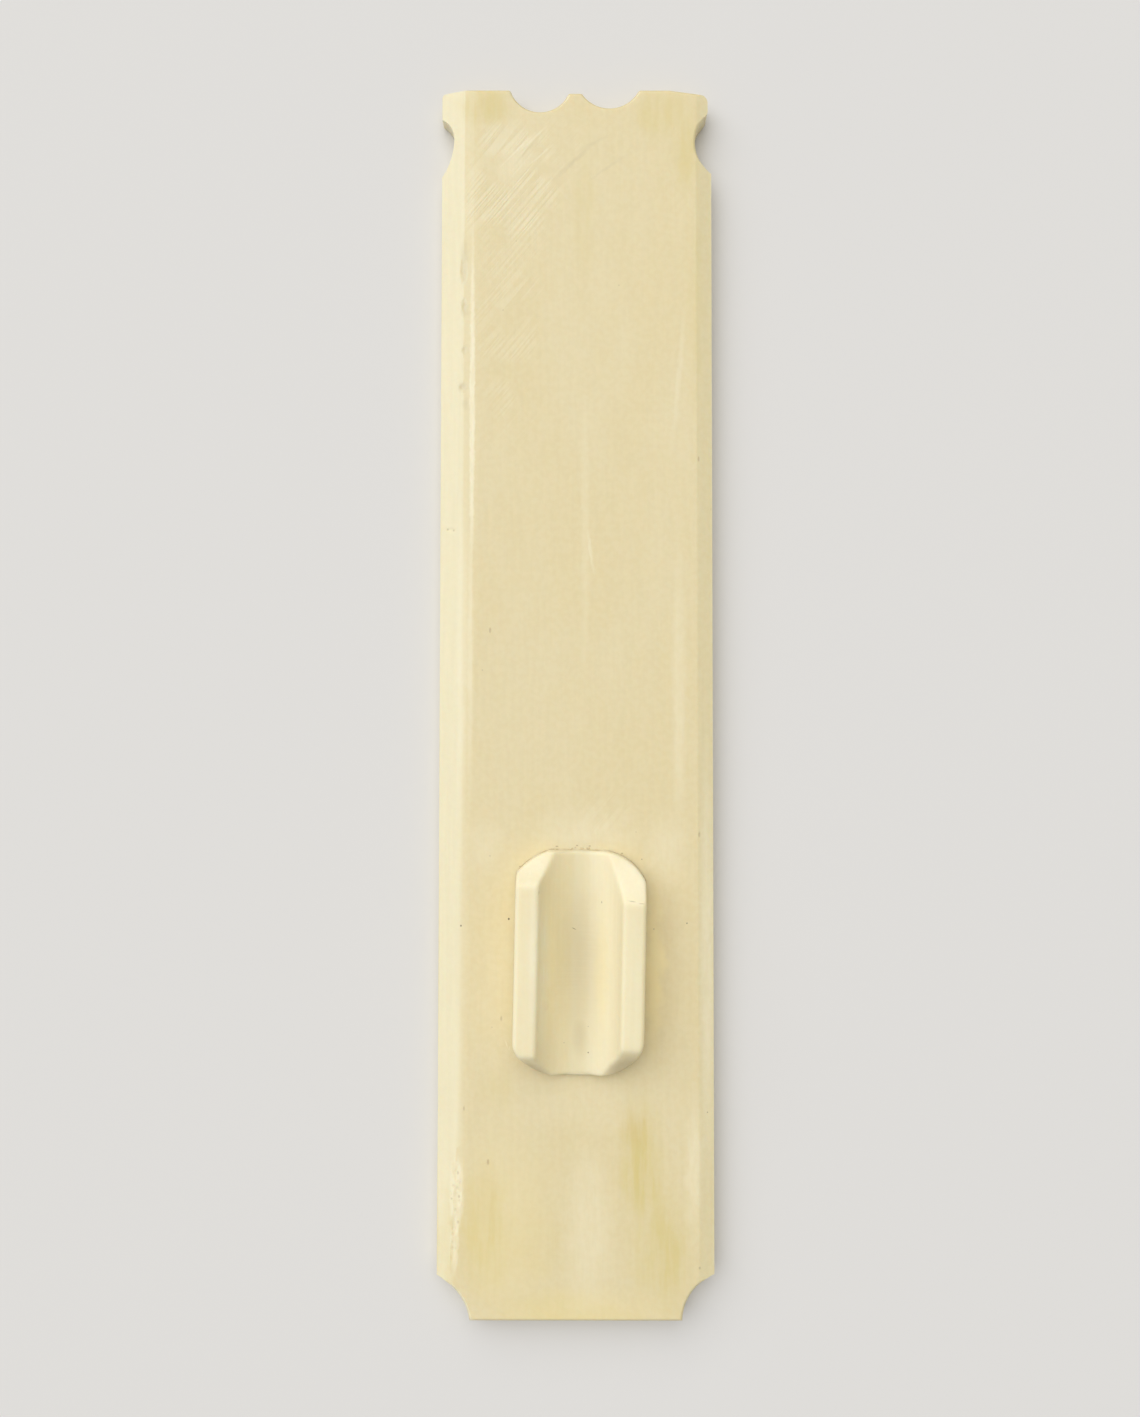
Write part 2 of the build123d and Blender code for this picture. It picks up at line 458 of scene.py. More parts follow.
@dataclass(frozen=True)
class BoneFinish:
    """Scraped and polished bone.

    Attributes:
        name: The material's name.
        body: Its colour where nothing marks it.
        warm: Colour of the slow drift in its tone.
        sheen_on_left_slopes: Colour that faces sloping to the left take, a painted sheen where they turn
            towards the light.
        shade_on_right_slopes: Colour that faces sloping to the right take, painted shade where they turn
            away from the light.
        shade_on_head_edges: Colour that edges turned to the eared head take, painted shade where the lamp
            lights them.
        fibre_gap: Millimetres from one fibre to the next.
        fibre_share: How strongly the fibres show.
        scratch_turn: Degrees from the tablet's length to the fine scratches' line, towards the left.
        scratch_fields: Where those scratches lie.
        marks: The marks on it, by tint.
        spongy_fields: Where the open cells of its inside show.
        small_edge: Least half width of a mark whose edges wander a little, in millimetres.
        large_edge: Least half width of a mark whose edges wander by the full reach.
        wander: That full reach in millimetres.
        roughness: Shader roughness away from the scratches.
        scratch_roughness: How much rougher the scratches are.
    """

    name: str
    body: Colour
    warm: Colour
    sheen_on_left_slopes: Colour
    shade_on_right_slopes: Colour
    shade_on_head_edges: Colour
    fibre_gap: float
    fibre_share: float
    scratch_turn: float
    scratch_fields: tuple[Mark, ...]
    marks: dict[Tint, tuple[Mark, ...]]
    spongy_fields: tuple[Mark, ...] = ()
    small_edge: float = 0.3
    large_edge: float = 1.3
    wander: float = 2.4
    roughness: float = 0.44
    scratch_roughness: float = 0.15

    @staticmethod
    def _mask(canvas: Canvas, marks: tuple[Mark, ...]) -> Socket:
        """Lay out a row of marks as one mask, which leaves the underside clear.

        Args:
            canvas: What it is drawn with.
            marks: The marks to lay out.

        Returns:
            The mask's output.
        """
        mask: Feed = 0.0
        for mark in marks:
            widths = [width for width in canvas.places if width <= mark.half_width]
            mask = canvas.desk.effect(
                canvas.effects.spot,
                place=canvas.places[max(widths)],
                middle=(mark.x, mark.y, 0.0),
                reach=(mark.half_width, mark.half_length, EVERYWHERE),
                turn=math.radians(mark.turn),
                soft=mark.soft,
                strength=mark.strength,
                before=mask,
            )
        return canvas.desk.math("MULTIPLY", mask, canvas.above)

    def _features(self, canvas: Canvas) -> dict[Fine, Socket]:
        """Lay out the fine features.

        Args:
            canvas: What they are drawn with.

        Returns:
            How much of each there is.
        """
        desk, effects, place = canvas.desk, canvas.effects, canvas.places[0.0]
        turn = math.radians(self.scratch_turn)
        lines = desk.effect(effects.scratches, place=place, turn=turn, gap=0.34, length=13.0, amount=0.95)
        holes = desk.effect(effects.pores, place=place, gap=0.5, length=1.4, size=0.42, share=0.75)
        hairlines = desk.effect(effects.scratches, place=place, turn=1.9, gap=0.16, length=5.0, amount=0.25)
        return {
            Fine.FIBRES: desk.effect(effects.fibres, place=place, gap=self.fibre_gap, length=9.0),
            Fine.SCRATCHES: desk.math("MULTIPLY", lines, self._mask(canvas, self.scratch_fields)),
            Fine.HAIRLINES: hairlines,
            Fine.PORES: desk.effect(effects.pores, place=place, share=0.05),
            Fine.CELLS: desk.math("MULTIPLY", holes, self._mask(canvas, self.spongy_fields)),
            Fine.GRAIN: desk.fade(desk.clouds(place, scale=1.5, detail=4.0), start=0.35, stop=0.65),
            Fine.SWELL: desk.clouds(place, scale=0.35),
        }

    def _colour(self, canvas: Canvas, features: dict[Fine, Socket], across: Feed, along: Feed) -> Socket:
        """Lay every tint over the body colour.

        Args:
            canvas: What it is drawn with.
            features: How much of each fine feature there is.
            across: The normal's part across the tablet.
            along: The normal's part along the tablet.

        Returns:
            The colour's output.
        """
        desk, effects, place = canvas.desk, canvas.effects, canvas.places[0.0]
        drift = desk.effect(effects.drift, place=place, size=7.0)
        hidden = desk.effect(effects.drift, place=place, size=16.0, seed=9.0)
        hidden = desk.math("MULTIPLY", hidden, desk.math("SUBTRACT", 1.0, canvas.above))
        ragged = desk.effect(effects.fibres, place=place, gap=0.5, length=2.6, seed=2.0)
        ragged = desk.fade(ragged, 0.0, 1.0, low=0.7, high=1.0)
        streaks = desk.effect(effects.fibres, place=place, gap=0.8, length=7.0, seed=5.0)
        streaks = desk.fade(streaks, 0.0, 1.0, low=0.5, high=1.1)
        breaks = {Tint.CHALK_AND_LIGHT: ragged, Tint.OCHRE: streaks, Tint.HONEY: streaks}
        # Each layer is a colour, where it lies and how much of it shows there.
        layers: list[tuple[Colour, Feed, Feed]] = [
            (self.warm, drift, 0.6),
            # The next three layers are painted light, chosen by where a face turns: a sheen on slopes
            # towards the light on the left, shade on slopes turned right, and shade on edges turned to the
            # head, which the lamp lights.
            (self.sheen_on_left_slopes, desk.fade(across, start=-0.10, stop=-0.30), 1.0),
            (self.shade_on_right_slopes, desk.fade(across, start=0.10, stop=0.28), 1.0),
            (self.shade_on_head_edges, desk.fade(along, start=0.15, stop=0.6), 1.0),
            (Tint.SHADE.value, features[Fine.FIBRES], self.fibre_share),
            (Tint.CHALK_AND_LIGHT.value, features[Fine.GRAIN], 0.10),
            (Tint.OCHRE.value, hidden, 0.45),
        ]
        for tint, marks in self.marks.items():
            layers.append((tint.value, self._mask(canvas, marks), breaks.get(tint, 1.0)))
        layers += [
            (Tint.SHADE.value, features[Fine.CELLS], 0.22),
            (Tint.CHALK_AND_LIGHT.value, features[Fine.SCRATCHES], 0.35),
            (Tint.SHADE.value, features[Fine.HAIRLINES], 0.12),
            (Tint.RUST.value, features[Fine.PORES], 0.3),
        ]
        colour: Feed = self.body
        for tint, mask, share in layers:
            colour = desk.tinted(colour, tint, desk.math("MULTIPLY", mask, share))
        return colour

    def material(self, effects: Effects) -> Material:
        """Build the material.

        Args:
            effects: The shared groups.

        Returns:
            The finished material.
        """
        made, desk, place = blank_material(self.name)
        places = {
            0.0: place,
            self.small_edge: self._wandering(desk, place, scale=1.3, reach=0.4),
            self.large_edge: self._wandering(desk, place, scale=0.35, reach=self.wander),
        }
        facing = desk.add("ShaderNodeSeparateXYZ")
        desk.wire(facing.inputs[0], desk.fed("ShaderNodeNewGeometry", output="Normal"))
        across, along, upright = facing.outputs
        canvas = Canvas(desk, effects, places, above=desk.fade(upright, start=-0.5, stop=-0.2))
        features = self._features(canvas)
        relief: Feed = 0.0
        for fine, amount in features.items():
            relief = desk.math("ADD", relief, desk.math("MULTIPLY", amount, fine.value))
        rougher = desk.math("MULTIPLY", features[Fine.SCRATCHES], self.scratch_roughness)
        settings = {
            "Base Color": self._colour(canvas, features, across, along),
            "Roughness": desk.math("ADD", self.roughness, rougher),
            "Normal": bumped(desk, relief),
            "IOR": 1.54,
            "Specular IOR Level": 0.3,
            "Subsurface Weight": 0.25,
            "Subsurface Radius": (1.0, 0.7, 0.4),
            "Subsurface Scale": 1.0 * MM,
        }
        surfaced(desk, settings)
        return made

    @staticmethod
    def _wandering(desk: NodeDesk, place: Feed, scale: float, reach: float) -> Socket:
        """Shift a place by noise, so that the edges of stains wander.

        Args:
            desk: Desk of the material's tree.
            place: Place in millimetres.
            scale: Waves per millimetre of the noise.
            reach: Millimetres from one end of the shift to the other.

        Returns:
            The shifted place.
        """
        shift = desk.clouds(place, scale, detail=3.0, output="Color")
        centred = desk.vector("SUBTRACT", shift, (0.5, 0.5, 0.5))
        return desk.vector("ADD", place, desk.scaled(centred, reach))


@dataclass(frozen=True)
class GlueFinish:
    """Dried hide glue, brown and a little glossy.

    Attributes:
        name: The material's name.
        thin: Colour where it lies thin.
        thick: Colour where it has gathered.
        thin_roughness: Shader roughness where it lies thin.
        thick_roughness: Shader roughness where it has gathered.
        ripple: Millimetres that its face rises and falls.
    """

    name: str = "dried_glue"
    thin: Colour = (0.78, 0.67, 0.42)
    thick: Colour = (0.60, 0.47, 0.25)
    thin_roughness: float = 0.45
    thick_roughness: float = 0.25
    ripple: float = 0.02

    def material(self, effects: Effects) -> Material:
        """Build the material.

        Args:
            effects: The shared groups.

        Returns:
            The finished material.
        """
        made, desk, place = blank_material(self.name)
        gathered = desk.effect(effects.drift, place=place, size=0.8)
        rough = desk.fade(gathered, 0.0, 1.0, self.thin_roughness, self.thick_roughness)
        ripples = desk.math("MULTIPLY", desk.clouds(place, scale=4.0), self.ripple)
        settings = {
            "Base Color": desk.tinted(self.thin, self.thick, gathered),
            "Roughness": rough,
            "Normal": bumped(desk, ripples),
        }
        surfaced(desk, settings)
        return made


def mesh_of(name: str, solid: Solid) -> bpy.types.Mesh:
    """Turn a working mesh into a named one.

    Args:
        name: The new mesh's name.
        solid: The working mesh, which is used up.

    Returns:
        The new mesh.
    """
    mesh = bpy.data.meshes.new(name)
    solid.to_mesh(mesh)
    solid.free()
    return mesh


def linked(name: str, data: bpy.types.ID) -> Piece:
    """Put a new object in the scene.

    Args:
        name: The object's name.
        data: Its mesh, lamp or camera.

    Returns:
        The object.
    """
    thing = bpy.data.objects.new(name, data)
    bpy.context.scene.collection.objects.link(thing)
    return thing


def merged_copy(node: str) -> Solid:
    """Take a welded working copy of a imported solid.

    Args:
        node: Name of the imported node.

    Returns:
        The solid as one closed mesh with its flat faces whole.
    """
    solid = bmesh.new()
    solid.from_mesh(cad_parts[node].data)
    bmesh.ops.remove_doubles(solid, verts=solid.verts, dist=WELD * MM)
    bmesh.ops.dissolve_limit(solid, angle_limit=math.radians(FLAT), verts=solid.verts, edges=solid.edges)
    return solid


def cut_lines(solid: Solid, axis: int, start: float, stop: float, step: float) -> None:
    """Score a mesh with parallel cuts, so that its faces can bend.

    Args:
        solid: The mesh.
        axis: 0, 1 or 2 for cuts square to X, Y or Z.
        start: First place along the axis, in metres.
        stop: Last place along the axis.
        step: Distance from cut to cut.
    """
    normal = [0.0, 0.0, 0.0]
    normal[axis] = 1.0
    for index in range(1, int((stop - start) / step)):
        point = [0.0, 0.0, 0.0]
        point[axis] = start + index * step
        everything = [*solid.verts, *solid.edges, *solid.faces]
        bmesh.ops.bisect_plane(solid, geom=everything, dist=SLIVER * MM, plane_co=point, plane_no=normal)


def finished_piece(name: str, solid: Solid, slot: Slot, finish: Material, *nodes: str) -> Piece:
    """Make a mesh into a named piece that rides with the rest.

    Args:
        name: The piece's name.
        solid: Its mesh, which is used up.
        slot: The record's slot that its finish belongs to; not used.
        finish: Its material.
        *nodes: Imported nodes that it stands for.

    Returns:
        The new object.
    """
    for face in solid.faces:
        face.smooth = True
    mesh = mesh_of(name, solid)
    mesh.materials.append(finish)
    piece = linked(name, mesh)
    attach(piece, "root")
    if nodes:
        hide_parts(*nodes)
    log.info("%s: %d faces", name, len(mesh.polygons))
    return piece


@dataclass
class Tablet:
    """The long tablet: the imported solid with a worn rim, waving faces and pitted bevels.

    Attributes:
        finish: Its bone.
        rim: Millimetres inside the outline over which the wear of the edge fades out.
        crease: Degrees past which an edge stays sharp.
        grid: Millimetres from cut to cut over its faces.
        hand_wave: Millimetres that the scraped faces rise and fall.
        wave_across: Waves per metre across the tablet.
        wave_along: Waves per metre along it.
        dents: The pits and hollows in it.
        dent_margin: Share of a dent's reach within which the mesh is cut finer.
        dent_rounds: How many times it is cut at most.
        dent_cells: Edges of the finer mesh in a dent's half width, at least.
        dent_ragged: Share of its depth by which a dent's floor varies.
        dent_waves: Waves per metre of that floor.
    """

    finish: Material
    rim: float = 0.1
    crease: float = 60.0
    grid: float = 1.0
    hand_wave: float = 0.03
    wave_across: float = 110.0
    wave_along: float = 50.0
    dents: tuple[Dent, ...] = ()
    dent_margin: float = 1.6
    dent_rounds: int = 3
    dent_cells: int = 4
    dent_ragged: float = 0.5
    dent_waves: float = 2500.0

    def _wear_rim(self, solid: Solid) -> None:
        """Set a narrow ring inside the outline, in which the edge's roundness fades out.

        Args:
            solid: The tablet's mesh.
        """
        for side in (1, -1):
            faces = [face for face in solid.faces if face.normal.z * side > UPWARD]
            bmesh.ops.inset_region(solid, faces=faces, thickness=self.rim * MM, use_even_offset=True)
        many_sided = [face for face in solid.faces if len(face.verts) > 4]
        bmesh.ops.triangulate(solid, faces=many_sided, ngon_method="EAR_CLIP")

    def _wave(self, solid: Solid) -> None:
        """Let the upper faces rise and fall as a scraper leaves them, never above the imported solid.

        Args:
            solid: The tablet's mesh.
        """
        for vert in solid.verts:
            if vert.normal.z > UPWARD:
                place = Vector((vert.co.x * self.wave_across, vert.co.y * self.wave_along, 0.0))
                lift = noise.noise(place)
                vert.co.z += self.hand_wave * MM * (lift - 1.0) / 2

    def _sink(self, solid: Solid, dent: Dent) -> None:
        """Press one dent into the upper face.

        Args:
            solid: The tablet's mesh.
            dent: The dent.
        """

        def share(vert: bmesh.types.BMVert) -> float:
            """How far out a vertex lies, as a share of the dent's reach.

            Args:
                vert: The vertex.

            Returns:
                0 at the dent's middle and 1 on its outline.
            """
            across = (vert.co.x / MM - dent.x) / dent.half_width
            along = (vert.co.y / MM - dent.y) / dent.half_length
            return math.hypot(across, along)

        longest = dent.half_width * MM / self.dent_cells
        for _ in range(self.dent_rounds):
            close = [vert for vert in solid.verts if share(vert) < self.dent_margin]
            near = {edge for vert in close for edge in vert.link_edges}
            long = [edge for edge in near if edge.calc_length() > longest]
            upper = [edge for edge in long if min(vert.normal.z for vert in edge.verts) > UPWARD]
            bmesh.ops.subdivide_edges(solid, edges=upper, cuts=1, use_grid_fill=True)
        for vert in solid.verts:
            out = share(vert)
            if out < 1.0 and vert.normal.z > UPWARD:
                ragged = 1.0 + self.dent_ragged * noise.noise(vert.co * self.dent_waves)
                vert.co.z -= dent.depth * MM * ragged * (1 - out**2) ** 2

    def build(self) -> Piece:
        """Build the tablet.

        Returns:
            The tablet's object.
        """
        low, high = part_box("base_plate")
        solid = merged_copy("base_plate")
        self._wear_rim(solid)
        cut_lines(solid, 0, low.x, high.x, self.grid * MM)
        cut_lines(solid, 1, low.y, high.y, self.grid * MM)
        self._wave(solid)
        for dent in self.dents:
            self._sink(solid, dent)
        many_sided = [face for face in solid.faces if len(face.verts) > 4]
        bmesh.ops.triangulate(solid, faces=many_sided)
        bmesh.ops.dissolve_degenerate(solid, edges=solid.edges, dist=SLIVER * MM)
        for edge in solid.edges:
            edge.smooth = edge.calc_face_angle(0.0) < math.radians(self.crease)
        return finished_piece("tablet", solid, Slot.TABLET, self.finish, "base_plate")


@dataclass
class PenBlock:
    """The grooved block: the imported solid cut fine, with its edges worn.

    Attributes:
        finish: Its bone.
        cell: Millimetres of its fine mesh.
        wear_rounds: How many times its edges are worn.
        wear_share: How far each round wears them.
        wear_above: Millimetres above its foot where the wear starts.
    """

    finish: Material
    cell: float = 0.13
    wear_rounds: int = 24
    wear_share: float = 0.5
    wear_above: float = 0.5

    def _fine(self) -> Solid:
        """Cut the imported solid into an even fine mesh.

        Returns:
            The fine mesh.
        """
        mesh = mesh_of("block_stock", merged_copy("pen_rest"))
        stock = linked("block_stock", mesh)
        sieve = stock.modifiers.new("fine", "REMESH")
        sieve.mode = "VOXEL"
        sieve.voxel_size = self.cell * MM
        graph = bpy.context.evaluated_depsgraph_get()
        solid = bmesh.new()
        solid.from_object(stock, graph)
        bpy.data.objects.remove(stock)
        bpy.data.meshes.remove(mesh)
        return solid

    def build(self) -> Piece:
        """Build the block.

        Returns:
            The block's object.
        """
        solid = self._fine()
        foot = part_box("pen_rest")[0].z
        worn = [vert for vert in solid.verts if vert.co.z > foot + self.wear_above * MM]
        for _ in range(self.wear_rounds):
            bmesh.ops.smooth_vert(
                solid,
                verts=worn,
                factor=self.wear_share,
                use_axis_x=True,
                use_axis_y=True,
                use_axis_z=True,
            )
        return finished_piece("pen_block", solid, Slot.BLOCK, self.finish, "pen_rest")


@dataclass
class GlueLine:
    """The glue under the block and the beads that it left along the block's head end.

    Attributes:
        finish: Its glue.
        seed: Seed of the beads' sizes and places.
        bead_count: How many beads there are.
        bead_radius: Millimetres of the largest bead's radius.
        bead_sizes: Least and greatest share of that radius.
        bead_widths: Least and greatest stretch along the block's end.
        bead_depths: Least and greatest stretch away from it.
        bead_height: Stretch upwards.
        row_start: Share of the film's width where the beads' row starts.
        row_share: Share of that width that the row takes up.
        row_bow: Millimetres that the row bends back a whole row from its middle.
        row_scatter: Least and greatest millimetres of a bead off its row.
        creep: Millimetres that the film's rim wanders.
        creep_waves: Waves per metre of that wander.
        tuck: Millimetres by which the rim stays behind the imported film's.
    """

    finish: Material
    seed: int = 7
    bead_count: int = 16
    bead_radius: float = 0.17
    bead_sizes: tuple[float, float] = (0.35, 1.0)
    bead_widths: tuple[float, float] = (0.8, 1.8)
    bead_depths: tuple[float, float] = (0.7, 1.1)
    bead_height: float = 0.4
    row_start: float = 0.18
    row_share: float = 0.64
    row_bow: float = 6.0
    row_scatter: tuple[float, float] = (-0.1, 0.15)
    creep: float = 0.12
    creep_waves: float = 900.0
    tuck: float = 0.1

    def _film(self) -> Piece:
        """Make the film, with a rim that wanders in and out.

        Returns:
            The film's object.
        """
        solid = merged_copy("glue_film")
        low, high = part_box("glue_film")
        middle = (low + high) / 2
        for vert in solid.verts:
            out = (vert.co - middle).xy.normalized()
            wander = (noise.noise(vert.co * self.creep_waves) * self.creep - self.tuck) * MM
            vert.co.x += out.x * wander
            vert.co.y += out.y * wander
        return finished_piece("glue_film_rim", solid, Slot.GLUE, self.finish, "glue_film")

    def _beads(self) -> Piece:
        """Make the beads.

        Returns:
            One object with every bead.
        """
        chance = Random(self.seed)
        low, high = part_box("glue_film")
        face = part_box("base_plate")[1].z
        solid = bmesh.new()
        for index in range(self.bead_count):
            share = (index + chance.random()) / self.bead_count
            x = low.x + (self.row_start + self.row_share * share) * (high.x - low.x)
            bow = abs(share - 0.5) ** 2 * self.row_bow * MM
            y = high.y - bow + chance.uniform(*self.row_scatter) * MM
            radius = self.bead_radius * chance.uniform(*self.bead_sizes) * MM
            made = bmesh.ops.create_icosphere(solid, subdivisions=2, radius=radius)["verts"]
            width = chance.uniform(*self.bead_widths)
            stretch = (width, chance.uniform(*self.bead_depths), self.bead_height)
            bmesh.ops.scale(solid, verts=made, vec=stretch)
            bmesh.ops.translate(solid, verts=made, vec=(x, y, face))
        return finished_piece("glue_beads", solid, Slot.GLUE, self.finish)

    def build(self) -> list[Piece]:
        """Build the film and its beads."""
        return [self._film(), self._beads()]


@dataclass
class Studio:
    """The plain pale floor, the soft light from the upper left and the camera above.

    Attributes:
        floor_colour: Colour of the floor.
        floor_roughness: Shader roughness of the floor.
        floor_shine: Strength of its reflections, as the shader's specular level.
        floor_reach: Metres from the object to the floor's edge.
        floor_lift: Millimetres of the floor above the underside, so that the underside lies clear of it.
        sky: Strength of the even light from all round.
        lamp_power: Watts of the soft lamp.
        lamp_from: Direction from the object to the lamp.
        lamp_distance: Metres to the lamp.
        lamp_size: Metres across the lamp.
        camera_place: Where the camera stands, in millimetres.
        camera_turn: The camera's turn about X, Y and Z, in degrees.
        lens: The camera's focal length in millimetres.
        sensor: Millimetres across its sensor.
        nearest: Metres from the camera to the nearest thing it shows.
    """

    floor_colour: Colour = (0.76, 0.745, 0.72)
    floor_roughness: float = 0.9
    floor_shine: float = 0.1
    floor_reach: float = 7.0
    floor_lift: float = 0.02
    sky: float = 0.42
    lamp_power: float = 745.0
    lamp_from: tuple[float, float, float] = (-0.32, 0.48, 0.82)
    lamp_distance: float = 8.0
    lamp_size: float = 12.0
    camera_place: tuple[float, float, float] = (-0.63, -6.64, 153.28)
    camera_turn: tuple[float, float, float] = (1.918, 0.033, 0.055)
    lens: float = 31.3
    sensor: float = 36.0
    nearest: float = 0.01

    def _floor(self) -> None:
        """Lay the floor, which is clear from below so that the underside can be seen."""
        sheet = bmesh.new()
        bmesh.ops.create_grid(sheet, x_segments=1, y_segments=1, size=self.floor_reach)
        bmesh.ops.translate(sheet, verts=sheet.verts, vec=(0.0, 0.0, self.floor_lift * MM))
        floor = linked("floor", mesh_of("floor", sheet))
        paint = bpy.data.materials.new("pale_floor")
        paint.use_nodes = True
        shine = paint.node_tree.nodes["Principled BSDF"]
        shine.inputs["Base Color"].default_value = (*self.floor_colour, 1.0)
        shine.inputs["Roughness"].default_value = self.floor_roughness
        shine.inputs["Specular IOR Level"].default_value = self.floor_shine
        desk = NodeDesk(paint.node_tree)
        backfacing = desk.fed("ShaderNodeNewGeometry", output="Backfacing")
        clear = desk.fed("ShaderNodeBsdfTransparent")
        below = desk.fed("ShaderNodeMixShader", backfacing, shine.outputs[0], clear)
        desk.wire(paint.node_tree.nodes["Material Output"].inputs["Surface"], below)
        floor.data.materials.append(paint)

    def _lights(self) -> None:
        """Hang the soft lamp and light the room evenly."""
        world = bpy.data.worlds.new("room")
        world.use_nodes = True
        backdrop = world.node_tree.nodes["Background"]
        backdrop.inputs["Color"].default_value = (1.0, 1.0, 1.0, 1.0)
        backdrop.inputs["Strength"].default_value = self.sky
        bpy.context.scene.world = world
        data = bpy.data.lights.new("window", "AREA")
        data.energy = self.lamp_power
        data.size = self.lamp_size
        lamp = linked("window", data)
        towards = Vector(self.lamp_from).normalized()
        lamp.location = towards * self.lamp_distance
        lamp.rotation_euler = towards.to_track_quat("Z", "Y").to_euler()

    def _camera(self) -> None:
        """Set up the camera."""
        data = bpy.data.cameras.new("camera")
        data.lens = self.lens
        data.sensor_width = self.sensor
        data.clip_start = self.nearest
        camera = linked("camera", data)
        camera.location = Vector(self.camera_place) * MM
        camera.rotation_euler = Euler([math.radians(angle) for angle in self.camera_turn], "XYZ")
        bpy.context.scene.camera = camera

    def build(self) -> None:
        """Build the studio around the object."""
        self._floor()
        self._lights()
        self._camera()
        bpy.context.scene.view_settings.view_transform = "Standard"


